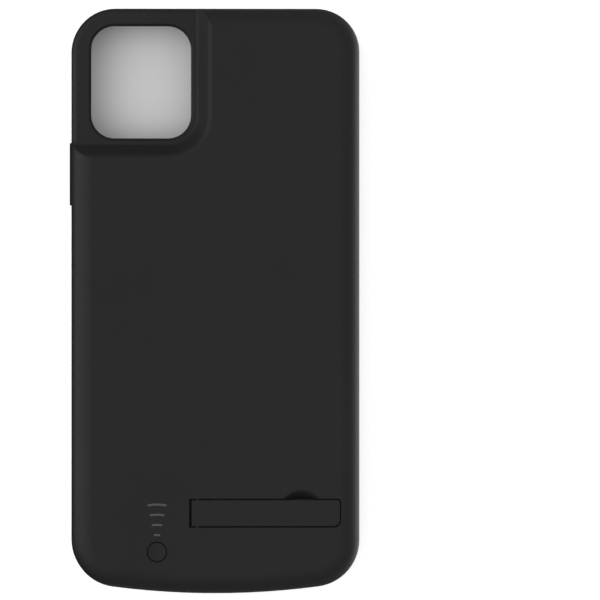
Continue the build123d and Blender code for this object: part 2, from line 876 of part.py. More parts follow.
def cell_tabs():
    """Two metal tabs of the cell, lying on its terrace."""
    tabs = []
    for side in (-1, 1):
        x = side * tab_spread
        y = cell_bottom - terrace_length / 2
        tab = Box(tab_width, terrace_length, tab_thickness)
        tabs.append((Pos(x, y, terrace_top() + tab_thickness / 2) * tab).solid())
    return Compound(tabs)


def cell_board():
    """Protection board of the cell, soldered on its tabs."""
    low = terrace_top() + tab_thickness
    half = cell_board_width / 2
    y1 = cell_bottom - (terrace_length - cell_board_length) / 2
    return block(-half, half, y1 - cell_board_length, y1, low, low + cell_board_thickness)


def cell_leads():
    """Two leads from the cell's board down to the main board."""
    high = terrace_top() + tab_thickness + cell_board_thickness + lead_radius
    low = board_high + lead_radius
    start = cell_bottom - terrace_length / 2
    wires = []
    for side in (-1, 1):
        x = lead_from_end - cell_board_width / 2 + side * lead_spread
        path = FilletPolyline(
            (x, start, high),
            (x, board_top + lead_bend, high),
            (x, board_top - lead_reach / 2, low),
            (x, board_top - lead_reach, low),
            radius=lead_bend,
        )
        section = Plane(origin=(x, start, high), z_dir=(0, -1, 0)) * Circle(lead_radius)
        wires.append(sweep(section, path=path).solid())
    return Compound(wires)


nodes = [
    rear_shell,
    bumper_frame,
    inner_tray,
    kickstand_leg,
    kickstand_pin,
    power_button,
    switch_housing,
    switch_plunger,
    light_guide,
    indicator_leds,
    main_board,
    board_screws,
    boost_inductor,
    control_chips,
    board_capacitors,
    input_socket_shell,
    input_socket_tongue,
    charge_plug,
    plug_contacts,
    plug_base,
    plug_board,
    battery_cell,
    cell_tape,
    cell_tabs,
    cell_board,
    cell_leads,
]

os.makedirs("parts", exist_ok=True)
for make in nodes:
    export_step(make(), f"parts/{make.__name__}.step")
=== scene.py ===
# %% [markdown]
# # A battery case, finished in Blender
# The case arrives as solids at their real size, in 26 named nodes: shells, hinge, button, boards
# and cell. This lesson gives every piece its finish, models the small work that a press, a mould or
# a soldering iron leaves behind, and then sets the light and the camera. Lengths are metres in the
# frame of the model: the case lies on its front lip, X runs across it, Y towards the camera window
# and Z out of its back.

# %% Load the model
from math import atan2, pi, radians

import bpy
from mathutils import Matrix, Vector


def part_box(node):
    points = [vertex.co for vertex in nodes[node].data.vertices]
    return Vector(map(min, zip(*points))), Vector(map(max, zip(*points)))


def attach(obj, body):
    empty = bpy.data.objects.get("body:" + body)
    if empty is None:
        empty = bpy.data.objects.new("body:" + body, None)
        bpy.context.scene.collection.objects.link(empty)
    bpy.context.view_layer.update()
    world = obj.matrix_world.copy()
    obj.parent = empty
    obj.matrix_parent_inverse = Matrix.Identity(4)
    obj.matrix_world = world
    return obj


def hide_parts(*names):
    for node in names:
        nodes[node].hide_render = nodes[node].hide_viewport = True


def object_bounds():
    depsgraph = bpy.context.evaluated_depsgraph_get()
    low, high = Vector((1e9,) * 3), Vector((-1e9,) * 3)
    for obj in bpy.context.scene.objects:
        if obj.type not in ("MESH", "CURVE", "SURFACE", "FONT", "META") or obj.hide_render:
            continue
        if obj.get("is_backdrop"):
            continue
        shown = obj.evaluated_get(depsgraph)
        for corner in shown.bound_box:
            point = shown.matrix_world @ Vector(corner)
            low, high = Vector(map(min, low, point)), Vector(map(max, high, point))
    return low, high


MM = 0.001
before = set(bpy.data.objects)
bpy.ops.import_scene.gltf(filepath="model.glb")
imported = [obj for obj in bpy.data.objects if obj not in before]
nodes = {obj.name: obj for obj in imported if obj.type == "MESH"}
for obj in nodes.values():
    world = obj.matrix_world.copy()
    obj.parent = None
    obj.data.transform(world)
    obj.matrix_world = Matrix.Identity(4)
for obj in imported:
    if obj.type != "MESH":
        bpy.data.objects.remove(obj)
cad_low, cad_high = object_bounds()
print("model loaded:", len(nodes), "nodes,", [round(v / MM, 2) for v in cad_high - cad_low], "mm")

# %% [markdown]
# ## A small kit for finishes
# A finish could be painted by hand on an image, but then it has one resolution and needs a UV map.
# Here each finish is a Principled shader fed by noise and a little arithmetic instead. The noise
# reads Object coordinates, which are metres, so a grain of 0.2 mm is 0.2 mm on every piece. What is
# even all over a surface is set on the shader's own sockets, and only what varies comes through
# nodes.

# %% Add and join shader nodes


def add_node(owner, kind, **values):
    """A shader node with its settings; a value that is named like a socket goes to that socket."""
    node = owner.node_tree.nodes.new(kind)
    for key, value in values.items():
        if key in node.inputs:
            node.inputs[key].default_value = value
        else:
            setattr(node, key, value)
    return node


def join(owner, source, target):
    """A link from an output to an input."""
    owner.node_tree.links.new(source, target)


print("node helpers ready")

# %% Arithmetic and colour ramps


def calc(owner, operation, *terms):
    """The result of a Math node; each term is a number or another node's output."""
    node = add_node(owner, "ShaderNodeMath", operation=operation)
    for socket, term in zip(node.inputs, terms):
        if isinstance(term, (int, float)):
            socket.default_value = term
        else:
            join(owner, term, socket)
    return node.outputs["Value"]


def spread(owner, value, low, high, start=0.0, stop=1.0, smooth=False):
    """A value that runs from start to stop, moved into the range from low to high."""
    node = add_node(owner, "ShaderNodeMapRange")
    if smooth:
        node.interpolation_type = "SMOOTHSTEP"
    limits = {"From Min": start, "From Max": stop, "To Min": low, "To Max": high}
    for name, number in limits.items():
        node.inputs[name].default_value = number
    join(owner, value, node.inputs["Value"])
    return node.outputs["Result"]


def ramp(owner, value, *stops):
    """A colour that follows a value from 0 to 1 through stops of position and colour."""
    node = add_node(owner, "ShaderNodeValToRGB")
    elements = node.color_ramp.elements
    elements[0].position = stops[0][0]
    elements[1].position = stops[-1][0]
    for position, _ in stops[1:-1]:
        elements.new(position)
    for element, (_, colour) in zip(elements, stops):
        element.color = (*colour, 1.0)
    join(owner, value, node.inputs["Fac"])
    return node.outputs["Color"]


print("arithmetic helpers ready")

# %% [markdown]
# The next helpers know about places: where a point of the surface is, how far it is from a line,
# and which patch of a noise it falls in. A noise that is stretched along one axis looks like drawn
# or brushed metal.

# %% Read the place on a piece
EVEN = (1, 1, 1)


def place(owner):
    """The point of the surface, in metres."""
    return add_node(owner, "ShaderNodeTexCoord").outputs["Object"]


def along(owner, axis):
    """One coordinate of the point of the surface."""
    split = add_node(owner, "ShaderNodeSeparateXYZ")
    join(owner, place(owner), split.inputs["Vector"])
    return split.outputs[axis]


def off_from(owner, axis, middle):
    """Distance of the point from a middle, along one axis."""
    return calc(owner, "ABSOLUTE", calc(owner, "SUBTRACT", along(owner, axis), middle))


def scaled_place(owner, size, stretch):
    """The point of the surface, counted in patches of one size that may be drawn out along an axis."""
    mapping = add_node(owner, "ShaderNodeMapping", Scale=tuple(1 / (size * share) for share in stretch))
    join(owner, place(owner), mapping.inputs["Vector"])
    return mapping.outputs["Vector"]


def cloud(owner, size, detail=2.0, stretch=EVEN):
    """Noise from 0 to 1 whose patches are about one size across."""
    noise = add_node(owner, "ShaderNodeTexNoise", Scale=1.0, Detail=detail)
    join(owner, scaled_place(owner, size, stretch), noise.inputs["Vector"])
    return noise.outputs["Fac"]


print("place helpers ready")

# %% [markdown]
# Last come the helpers that put a pattern to use: as a slow change of colour, as a change of gloss,
# or as relief with its height in metres. Even a clean new product shows a little of each, and a
# surface without them looks like a drawing.

# %% Start a finish


def shader_of(material):
    """The Principled shader of a finish."""
    return material.node_tree.nodes["Principled BSDF"]


def new_finish(name, colour, roughness, metallic=0.0, specular=0.5):
    """A material with one Principled shader, whose even values are set on the shader itself."""
    material = bpy.data.materials.new(name)
    material.use_nodes = True
    shader = shader_of(material)
    shader.inputs["Base Color"].default_value = (*colour, 1.0)
    shader.inputs["Roughness"].default_value = roughness
    shader.inputs["Metallic"].default_value = metallic
    shader.inputs["Specular IOR Level"].default_value = specular
    return material


def dress(material, *names):
    """Gives a finish to nodes of the model by name."""
    for name in names:
        slots = nodes[name].data.materials
        slots.clear()
        slots.append(material)
    print("finish", material.name, "on", ", ".join(names))


print("finish helpers ready")

# %% Put a pattern to use
NOISE_LOW = 0.3
NOISE_HIGH = 0.7


def grey(tone):
    """A colour without hue."""
    return (tone, tone, tone)


def drift(owner, value, dark, light):
    """A colour that drifts between two tones along a noise, over the range that a noise fills."""
    return ramp(owner, value, (NOISE_LOW, dark), (NOISE_HIGH, light))


def set_tone(material, colour):
    """Colour of a finish, from a colour that varies."""
    join(material, colour, shader_of(material).inputs["Base Color"])


def set_gloss(material, value, low, high):
    """Roughness of a finish, along a value from 0 to 1."""
    join(material, spread(material, value, low, high), shader_of(material).inputs["Roughness"])


def set_relief(material, value, height):
    """Small relief of a finish; a value of 1 stands that much higher than a value of 0."""
    bump = add_node(material, "ShaderNodeBump", Distance=height)
    join(material, value, bump.inputs["Height"])
    join(material, bump.outputs["Normal"], shader_of(material).inputs["Normal"])


print("pattern helpers ready")

# %% [markdown]
# ## Soft-touch black
# The rear shell is hard plastic with a sprayed soft-touch coat: almost black, with a wide dull
# sheen and a grain that fingers feel more than eyes see. The leg and the button come out of the
# same spray booth, but as loose parts, so each gets its own finish that differs by a hair. A low
# specular level keeps the sheen dull, because a plain plastic would reflect the studio too clearly
# at the rounded edges. In the leg's pocket, the gaps round the leg and the scoop for a fingertip
# beside it, the colour is painted darker the deeper the surface lies: painted shade for these hollows.

# %% Painted shade in the pocket
# Painted shade: below the back, the colour in the pocket and scoop darkens to this tone between these
# two depths.
POCKET_SHADE_TONE = 0.0075
SHADE_FROM_DEPTH = 0.02 * MM
SHADE_FULL_DEPTH = 1.0 * MM
POCKET_GAP = 0.3 * MM
SCOOP_REACH = 4 * MM
leg_low, leg_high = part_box("kickstand_leg")
pocket_low = leg_low - Vector((POCKET_GAP, POCKET_GAP, 0))
pocket_high = leg_high + Vector((POCKET_GAP, SCOOP_REACH, 0))
pocket_middle = (pocket_low + pocket_high) / 2
pocket_size = pocket_high - pocket_low


def pocket_shade_mask(owner):
    """Painted shade mask: 1 where the surface lies lower than the back, in or beside the leg's pocket,
    and else 0.
    """
    depth = calc(owner, "SUBTRACT", cad_high.z, along(owner, "Z"))
    mask = spread(owner, depth, 0.0, 1.0, SHADE_FROM_DEPTH, SHADE_FULL_DEPTH, smooth=True)
    for axis, middle, size in zip("XY", pocket_middle, pocket_size):
        inside = calc(owner, "LESS_THAN", off_from(owner, axis, middle), size / 2)
        mask = calc(owner, "MULTIPLY", mask, inside)
    return mask


def mix_tone(owner, factor, colour, other):
    """A colour that goes over to one other colour as a factor goes from 0 to 1."""
    node = add_node(owner, "ShaderNodeMix", data_type="RGBA")
    ends = [socket for socket in node.inputs if socket.type == "RGBA"]
    join(owner, factor, node.inputs["Factor"])
    join(owner, colour, ends[0])
    ends[1].default_value = (*other, 1.0)
    return [socket for socket in node.outputs if socket.type == "RGBA"][0]


print("bare field of", [round(v / MM, 1) for v in pocket_size.xy], "mm")

# %% Coat of shell, leg and button
COAT_SPECULAR = 0.15
COAT_ROUGHNESS = (0.44, 0.50)
COAT_DRIFT = 0.05
COAT_BLUE = 0.02


def coat_colour(tone, share):
    """A share of a tone, with a hair of blue."""
    return (share * tone, share * tone, (share + COAT_BLUE) * tone)


def soft_touch(name, tone, shaded_pocket=False):
    """Sprayed coat of one tone, with or without painted shade in the stand's pocket and scoop."""
    finish = new_finish(name, grey(tone), COAT_ROUGHNESS[0], specular=COAT_SPECULAR)
    dark = coat_colour(tone, 1 - COAT_DRIFT)
    light = coat_colour(tone, 1 + COAT_DRIFT)
    colour = drift(finish, cloud(finish, size=30 * MM), dark, light)
    if shaded_pocket:
        # Painted shade: the colour darkens towards a deeper black down in the pocket and scoop.
        colour = mix_tone(finish, pocket_shade_mask(finish), colour, grey(POCKET_SHADE_TONE))
    set_tone(finish, colour)
    set_gloss(finish, cloud(finish, size=8 * MM), *COAT_ROUGHNESS)
    set_relief(finish, cloud(finish, size=0.15 * MM, detail=3.0), height=0.01 * MM)
    return finish


dress(soft_touch("soft_touch_black", tone=0.0140, shaded_pocket=True), "rear_shell")
dress(soft_touch("soft_touch_leg", tone=0.0142), "kickstand_leg")
dress(soft_touch("button_black", tone=0.0138), "power_button")

# %% [markdown]
# ## Bumper and tray
# The bumper is moulded from a softer plastic that has no coat. It is deep black with a satin sheen,
# and has a faint orange peel from the mould. The tray in front of the cell is hard plastic from a
# mould with a spark-eroded wall: a close, dry grain. Ejector pins have pushed it out of that mould
# and left a grid of shallow rings. Modelled rings would take many faces for a few hundredths of a
# millimetre, so they are drawn as relief, from the distance to a row of spots in X and in Y. The
# base of the plug has the same grain without the rings.

# %% Bumper
BUMPER_DARK = (0.012, 0.012, 0.0124)
BUMPER_LIGHT = (0.014, 0.014, 0.0144)
bumper = new_finish("soft_bumper_black", (0.013, 0.013, 0.0134), roughness=0.6, specular=0.13)
set_tone(bumper, drift(bumper, cloud(bumper, size=20 * MM), BUMPER_DARK, BUMPER_LIGHT))
set_gloss(bumper, cloud(bumper, size=6 * MM), low=0.55, high=0.64)
set_relief(bumper, cloud(bumper, size=0.6 * MM, detail=3.0), height=0.012 * MM)
dress(bumper, "bumper_frame")

# %% Rings of the ejector pins
PIN_MARK_RADIUS = 2.0 * MM
PIN_MARK_PITCH = (24 * MM, 31 * MM)
PIN_MARK_LINE = 0.12 * MM


def from_row(owner, axis, first, pitch):
    """Signed distance to the nearest of an endless row of spots along one axis."""
    moved = calc(owner, "SUBTRACT", along(owner, axis), first)
    return calc(owner, "WRAP", moved, pitch / 2, -pitch / 2)


def hypot(owner, first, second):
    """Length of a step that has two parts."""
    first_square = calc(owner, "MULTIPLY", first, first)
    second_square = calc(owner, "MULTIPLY", second, second)
    return calc(owner, "SQRT", calc(owner, "ADD", first_square, second_square))


def pin_rings(owner):
    """1 on the rings of the ejector pins and 0 elsewhere."""
    across = from_row(owner, "X", 0.0, PIN_MARK_PITCH[0])
    lengthways = from_row(owner, "Y", 0.0, PIN_MARK_PITCH[1])
    radius = hypot(owner, across, lengthways)
    off_ring = calc(owner, "ABSOLUTE", calc(owner, "SUBTRACT", radius, PIN_MARK_RADIUS))
    return spread(owner, off_ring, 1.0, 0.0, 0.0, PIN_MARK_LINE, smooth=True)


print("pin rings every", [round(pitch / MM) for pitch in PIN_MARK_PITCH], "mm")

# %% Tray and plug base
SPARK_DRIFT = 0.1


def spark_texture(name, tone, marks=False):
    """Close dry grain of an eroded mould, with or without the rings of its ejector pins."""
    finish = new_finish(name, grey(tone), roughness=0.6, specular=0.25)
    dark = grey((1 - SPARK_DRIFT) * tone)
    light = grey((1 + SPARK_DRIFT) * tone)
    set_tone(finish, drift(finish, cloud(finish, size=12 * MM), dark, light))
    set_gloss(finish, cloud(finish, size=3 * MM), low=0.56, high=0.66)
    grain = cloud(finish, size=0.3 * MM, detail=4.0)
    if marks:
        grain = calc(finish, "SUBTRACT", grain, pin_rings(finish))
    set_relief(finish, grain, height=0.03 * MM)
    return finish


dress(spark_texture("moulded_black", tone=0.020, marks=True), "inner_tray")
dress(spark_texture("plug_base_black", tone=0.028), "plug_base")

# %% [markdown]
# ## Lights and switch
# Behind each slot of the shell a bar of smoked plastic carries the light of a small lamp on the
# board. Switched off, the bars are dark grey against the black. The lamps are white bodies with a
# yellow dot of phosphor: the dot is drawn from the distance to each lamp's middle, which repeats
# along Y by the lamps' own pitch, read off the model. The switch under the button is moulded
# plastic with a fine grain.

# %% Light guide
GUIDE_DARK = (0.060, 0.060, 0.061)
GUIDE_LIGHT = (0.072, 0.072, 0.073)
guide = new_finish("smoked_guide", (0.066, 0.066, 0.067), roughness=0.4, specular=0.3)
set_tone(guide, drift(guide, cloud(guide, size=1.5 * MM), GUIDE_DARK, GUIDE_LIGHT))
set_gloss(guide, cloud(guide, size=0.5 * MM), low=0.34, high=0.46)
dress(guide, "light_guide")

# %% Lamps
LAMP_COUNT = 4
LAMP_WHITE = (0.8, 0.8, 0.77)
PHOSPHOR = (0.75, 0.55, 0.04)
PHOSPHOR_RIM = (0.62, 0.61, 0.56)
lamp_low, lamp_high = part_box("indicator_leds")
lamp_size = lamp_high.x - lamp_low.x
lamp_pitch = (lamp_high.y - lamp_low.y - lamp_size) / (LAMP_COUNT - 1)
lamp = new_finish("light_body", LAMP_WHITE, roughness=0.45)
lamp_across = calc(lamp, "SUBTRACT", along(lamp, "X"), (lamp_low.x + lamp_high.x) / 2)
lamp_along = from_row(lamp, "Y", lamp_low.y + lamp_size / 2, lamp_pitch)
lamp_reach = spread(lamp, hypot(lamp, lamp_across, lamp_along), 0.0, 1.0, 0.0, lamp_size)
set_tone(lamp, ramp(lamp, lamp_reach, (0.30, PHOSPHOR), (0.34, PHOSPHOR_RIM), (0.5, LAMP_WHITE)))
set_gloss(lamp, cloud(lamp, size=0.3 * MM), low=0.35, high=0.5)
dress(lamp, "indicator_leds")
print("lamps every", round(lamp_pitch / MM, 2), "mm")

# %% Switch
SWITCH_DARK = (0.042, 0.042, 0.042)
SWITCH_LIGHT = (0.058, 0.058, 0.056)
switch = new_finish("switch_plastic", grey(0.05), roughness=0.5)
set_tone(switch, drift(switch, cloud(switch, size=0.5 * MM, detail=4.0), SWITCH_DARK, SWITCH_LIGHT))
set_relief(switch, cloud(switch, size=0.1 * MM, detail=3.0), height=0.01 * MM)
dress(switch, "switch_housing", "switch_plunger")

# %% [markdown]
# ## Metals
# Metal is told by its highlights, so these finishes differ in roughness more than in colour. The
# socket's shell is deep-drawn and keeps fine lines along its length. The plug is tumbled and satin.
# The hinge pin is turned and then blackened, so its lines run round it. Gold contacts wear along Y,
# the way a plug slides, and nickel tabs carry the small rings of a spot welder.

# %% Drawn, tumbled, turned and gilded metal
ALONG_Y = (1, 30, 1)
ROUND_Y = (30, 1, 30)
LINE_SHADE = 0.88
SOCKET_STEEL = (0.62, 0.62, 0.61)
PLUG_STEEL = (0.66, 0.66, 0.65)
BLACKENED = (0.05, 0.05, 0.053)
GOLD = (0.86, 0.62, 0.26)


def drawn_metal(name, colour, gloss, line, stretch=EVEN):
    """Metal with lines of one width that are stretched along a direction, or even all round."""
    finish = new_finish(name, colour, gloss[0], metallic=1.0)
    lines = cloud(finish, line, stretch=stretch)
    set_tone(finish, drift(finish, lines, tuple(LINE_SHADE * part for part in colour), colour))
    set_gloss(finish, lines, *gloss)
    set_relief(finish, lines, height=0.004 * MM)
    return finish


drawn = drawn_metal("socket_steel", SOCKET_STEEL, (0.22, 0.38), line=0.08 * MM, stretch=ALONG_Y)
dress(drawn, "input_socket_shell")
tumbled = drawn_metal("plug_steel", PLUG_STEEL, (0.30, 0.42), line=0.12 * MM)
dress(tumbled, "charge_plug")
turned = drawn_metal("pin_steel", BLACKENED, (0.32, 0.46), line=0.06 * MM, stretch=ROUND_Y)
dress(turned, "kickstand_pin")
gilded = drawn_metal("contact_gold", GOLD, (0.18, 0.32), line=0.05 * MM, stretch=ALONG_Y)
dress(gilded, "plug_contacts")

# %% Welded tabs
WELD_PITCH = 1.5 * MM
WELD_REACH = 0.6 * MM
WELD_PIT = (0.34, 0.32, 0.30)
WELD_RIM = (0.66, 0.63, 0.58)
NICKEL = (0.60, 0.57, 0.52)
nickel = new_finish("tab_nickel", NICKEL, roughness=0.35, metallic=1.0)
weld_across = from_row(nickel, "X", 0.0, WELD_PITCH)
weld_along = from_row(nickel, "Y", 0.0, WELD_PITCH)
weld = spread(nickel, hypot(nickel, weld_across, weld_along), 0.0, 1.0, 0.0, WELD_REACH)
set_tone(nickel, ramp(nickel, weld, (0.3, WELD_PIT), (0.55, WELD_RIM), (0.8, NICKEL)))
set_gloss(nickel, cloud(nickel, size=0.4 * MM), low=0.28, high=0.42)
set_relief(nickel, weld, height=0.03 * MM)
dress(nickel, "cell_tabs")

# %% [markdown]
# ## Circuit boards
# A board is glass fibre under green lacquer. Copper tracks lie under the lacquer and show as a
# lighter green, and many of them end in a small tinned hole that leads to the other face. Tracks
# run straight, one beside the other, so the board is divided into lanes, and each lane into runs
# that start at a different place. White noise then decides which runs carry a track. The same is
# done along X and along Y, as on the two copper layers of a real board.

# %% Tracks of a board
LANE = 0.8 * MM
RUN = 9 * MM
TRACK_HALF = 0.15
TRACK_END = 0.45
TRACK_SHARE = 0.45
HOLE_RADIUS = 0.24 * MM


def chance(owner, *numbers):
    """A random value from 0 to 1 that belongs to one whole number or to a pair of them."""
    pair = add_node(owner, "ShaderNodeCombineXYZ")
    for socket, number in zip(pair.inputs, numbers):
        join(owner, number, socket)
    noise = add_node(owner, "ShaderNodeTexWhiteNoise", noise_dimensions="3D")
    join(owner, pair.outputs["Vector"], noise.inputs["Vector"])
    return noise.outputs["Value"]


def part_of(owner, value):
    """The whole number below a value, and how far the value is from the middle to the next one."""
    middle = calc(owner, "SUBTRACT", calc(owner, "FRACT", value), 0.5)
    return calc(owner, "FLOOR", value), calc(owner, "ABSOLUTE", middle)


def board_tracks(owner, way, across):
    """Tracks along one axis and the holes at their ends, each as a value of 1 there and 0 elsewhere."""
    lane, off_lane = part_of(owner, calc(owner, "DIVIDE", along(owner, across), LANE))
    start = chance(owner, lane)
    run, off_run = part_of(owner, calc(owner, "MULTIPLY_ADD", along(owner, way), 1 / RUN, start))
    laid = calc(owner, "LESS_THAN", chance(owner, lane, run), TRACK_SHARE)
    narrow = calc(owner, "LESS_THAN", off_lane, TRACK_HALF)
    within = calc(owner, "LESS_THAN", off_run, TRACK_END)
    track = calc(owner, "MULTIPLY", laid, calc(owner, "MULTIPLY", narrow, within))
    past_end = calc(owner, "MULTIPLY", calc(owner, "SUBTRACT", off_run, TRACK_END), RUN)
    from_end = hypot(owner, calc(owner, "MULTIPLY", off_lane, LANE), past_end)
    hole = calc(owner, "MULTIPLY", laid, calc(owner, "LESS_THAN", from_end, HOLE_RADIUS))
    return track, hole


print("lanes every", round(LANE / MM, 2), "mm, runs of", round(RUN / MM, 2), "mm")

# %% Lacquered boards
LACQUER_DARK = (0.009, 0.078, 0.034)
LACQUER_LIGHT = (0.011, 0.092, 0.041)
TRACK_GREEN = (0.024, 0.17, 0.075)
HOLE_TIN = (0.55, 0.55, 0.52)
board = new_finish("board_green", (0.012, 0.10, 0.045), roughness=0.3)
x_track, x_hole = board_tracks(board, "X", "Y")
y_track, y_hole = board_tracks(board, "Y", "X")
track = calc(board, "MAXIMUM", x_track, y_track)
hole = calc(board, "MAXIMUM", x_hole, y_hole)
lacquer = drift(board, cloud(board, size=6 * MM), LACQUER_DARK, LACQUER_LIGHT)
lacquer = mix_tone(board, track, lacquer, TRACK_GREEN)
set_tone(board, mix_tone(board, hole, lacquer, HOLE_TIN))
join(board, hole, shader_of(board).inputs["Metallic"])
set_gloss(board, cloud(board, size=2 * MM), low=0.24, high=0.38)
set_relief(board, calc(board, "MAXIMUM", track, hole), height=0.03 * MM)
dress(board, "main_board", "plug_board", "cell_board")

# %% [markdown]
# ## Components on the board
# Ferrite is pressed powder, so it is speckled. Ceramic capacitors are tan blocks whose ends are
# dipped in tin: the distance from the row's middle line along Y says where the tin begins. The lead
# sleeves are red for plus and black for minus, and a step at the middle between the two leads parts
# the colours. The tongue of the socket has the dry grain of the tray, and the tape on the cell is a
# film with faint lines along Y.

# %% Ferrite and capacitors
FERRITE_DARK = (0.055, 0.055, 0.057)
FERRITE_LIGHT = (0.14, 0.14, 0.14)
ferrite = new_finish("ferrite_grey", (0.09, 0.09, 0.092), roughness=0.6)
powder = cloud(ferrite, size=0.15 * MM, detail=4.0)
set_tone(ferrite, ramp(ferrite, powder, (0.35, FERRITE_DARK), (0.65, FERRITE_LIGHT)))
set_gloss(ferrite, cloud(ferrite, size=0.4 * MM), low=0.45, high=0.7)
set_relief(ferrite, powder, height=0.02 * MM)
dress(ferrite, "boost_inductor")

CAP_TAN = (0.45, 0.32, 0.19)
CAP_TIN = (0.62, 0.61, 0.58)
CAP_DIP = 0.35 * MM
cap_low, cap_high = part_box("board_capacitors")
cap_half = (cap_high.y - cap_low.y) / 2
ceramic = new_finish("capacitor_tan", CAP_TAN, roughness=0.4)
cap_off = off_from(ceramic, "Y", (cap_low.y + cap_high.y) / 2)
cap_end = calc(ceramic, "GREATER_THAN", cap_off, cap_half - CAP_DIP)
set_tone(ceramic, ramp(ceramic, cap_end, (0.0, CAP_TAN), (1.0, CAP_TIN)))
join(ceramic, cap_end, shader_of(ceramic).inputs["Metallic"])
set_gloss(ceramic, cloud(ceramic, size=0.2 * MM), low=0.3, high=0.45)
dress(ceramic, "board_capacitors")

# %% Leads, socket tongue and tape
LEAD_RED = (0.42, 0.015, 0.012)
LEAD_BLACK = (0.015, 0.015, 0.015)
lead_low, lead_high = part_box("cell_leads")
sleeve = new_finish("lead_sleeve", (0.4, 0.02, 0.02), roughness=0.45)
black_side = calc(sleeve, "GREATER_THAN", along(sleeve, "X"), (lead_low.x + lead_high.x) / 2)
set_tone(sleeve, ramp(sleeve, black_side, (0.0, LEAD_RED), (1.0, LEAD_BLACK)))
set_gloss(sleeve, cloud(sleeve, size=0.5 * MM), low=0.38, high=0.52)
set_relief(sleeve, cloud(sleeve, size=0.3 * MM), height=0.01 * MM)
dress(sleeve, "cell_leads")

dress(spark_texture("insulator_black", tone=0.016), "input_socket_tongue")

TAPE_DARK = (0.66, 0.66, 0.62)
TAPE_LIGHT = (0.76, 0.76, 0.73)
TAPE_FIBRE = (1, 6, 1)
tape = new_finish("tape_white", (0.72, 0.72, 0.69), roughness=0.5)
set_tone(tape, drift(tape, cloud(tape, size=4 * MM, detail=4.0), TAPE_DARK, TAPE_LIGHT))
fibres = cloud(tape, size=0.4 * MM, detail=3.0, stretch=TAPE_FIBRE)
set_relief(tape, fibres, height=0.01 * MM)
dress(tape, "cell_tape")

# %% [markdown]
# ## A small kit for modelling
# The rest of the lesson models small pieces as one would by hand: add a primitive, go into edit
# mode, select some faces or edges, and extrude, inset or bevel them. In a script the selection is a
# test on the place and the direction of each face. Operators act on everything that is selected, so
# each helper first deselects all. The place of a finished piece belongs in its mesh, which is what
# Apply Transform does.

# %% Start a piece
X_WAY = Vector((1, 0, 0))
Y_WAY = Vector((0, 1, 0))
Z_WAY = Vector((0, 0, 1))


def settle(name):
    """Names the active object and puts its place, turn and size into its mesh."""
    piece = bpy.context.object
    piece.name = name
    piece.data.name = name
    bpy.ops.object.transform_apply(location=True, rotation=True, scale=True)
    return piece


def activate(piece):
    """Makes one piece the only selected and active one."""
    bpy.ops.object.select_all(action="DESELECT")
    piece.select_set(True)
    bpy.context.view_layer.objects.active = piece


def new_block(name, low, high):
    """A cube between two corners."""
    bpy.ops.object.select_all(action="DESELECT")
    bpy.ops.mesh.primitive_cube_add(size=1.0, location=(low + high) / 2, scale=high - low)
    return settle(name)


def new_rod(name, foot, radius, height, sides=32):
    """An upright cylinder that stands on a point."""
    bpy.ops.object.select_all(action="DESELECT")
    middle = foot + Z_WAY * height / 2
    bpy.ops.mesh.primitive_cylinder_add(vertices=sides, radius=radius, depth=height, location=middle)
    return settle(name)


print("start helpers ready")

# %% Select and extrude
FACING = 0.9
TOUCH = 0.005 * MM


def facing(way):
    """A test that faces towards one direction pass."""
    return lambda centre, normal: normal.dot(way) > FACING


def every_face(centre, normal):
    """A test that every face passes."""
    return True


def pick(piece, kind, wanted):
    """Opens the active piece in edit mode with only the wanted faces or edges selected."""
    bpy.ops.object.mode_set(mode="EDIT")
    bpy.ops.mesh.select_mode(type=kind)
    bpy.ops.mesh.select_all(action="DESELECT")
    bpy.ops.object.mode_set(mode="OBJECT")
    points = [vertex.co for vertex in piece.data.vertices]
    if kind == "FACE":
        for face in piece.data.polygons:
            face.select = wanted(face.center, face.normal)
    else:
        for edge in piece.data.edges:
            edge.select = all(wanted(points[index]) for index in edge.vertices)
    bpy.ops.object.mode_set(mode="EDIT")


def close():
    """Goes back to object mode."""
    bpy.ops.object.mode_set(mode="OBJECT")


def pull(offset):
    """Extrudes the selected faces by an offset."""
    bpy.ops.mesh.extrude_region_move(TRANSFORM_OT_translate={"value": offset})


print("selection helpers ready")

# %% [markdown]
# Modifiers do what would be dull by hand: a Bevel on every sharp edge, a Boolean cut, an Array of
# like parts. They are applied at once, so that the mesh that leaves Blender is the mesh that is
# seen.

# %% Modifiers
SHARP_ANGLE = radians(30)


def apply_modifier(piece, modifier):
    """Makes a modifier part of the mesh."""
    activate(piece)
    bpy.ops.object.modifier_apply(modifier=modifier.name)


def soften(piece, width, segments=2):
    """Rounds every sharp edge of a piece."""
    bevel = piece.modifiers.new("soften", "BEVEL")
    bevel.width = width
    bevel.segments = segments
    bevel.limit_method = "ANGLE"
    bevel.angle_limit = SHARP_ANGLE
    apply_modifier(piece, bevel)


def cut(piece, cutter):
    """Takes a cutter out of a piece and deletes the cutter."""
    boolean = piece.modifiers.new("cut", "BOOLEAN")
    boolean.operation = "DIFFERENCE"
    boolean.solver = "EXACT"
    boolean.object = cutter
    apply_modifier(piece, boolean)
    bpy.data.objects.remove(cutter)


def repeat(piece, count, step):
    """Repeats a piece along a step."""
    row = piece.modifiers.new("row", "ARRAY")
    row.count = count
    row.use_relative_offset = False
    row.use_constant_offset = True
    row.constant_offset_displace = step
    apply_modifier(piece, row)


print("modifier helpers ready")

# %% [markdown]
# A finished piece is shaded smooth but for its sharp edges, gets its finish, and is fixed to the
# case. New work has to land exactly on what it belongs to, so a last helper reads the box of each
# separate solid in a node. A node is loose triangles: those that share a corner belong to the same
# solid.

# %% Copy and keep a piece
SMOOTH_ANGLE = radians(35)


def copy_of(piece, name, offset):
    """A copy with its own mesh, moved by an offset."""
    activate(piece)
    bpy.ops.object.duplicate_move(TRANSFORM_OT_translate={"value": offset})
    return settle(name)


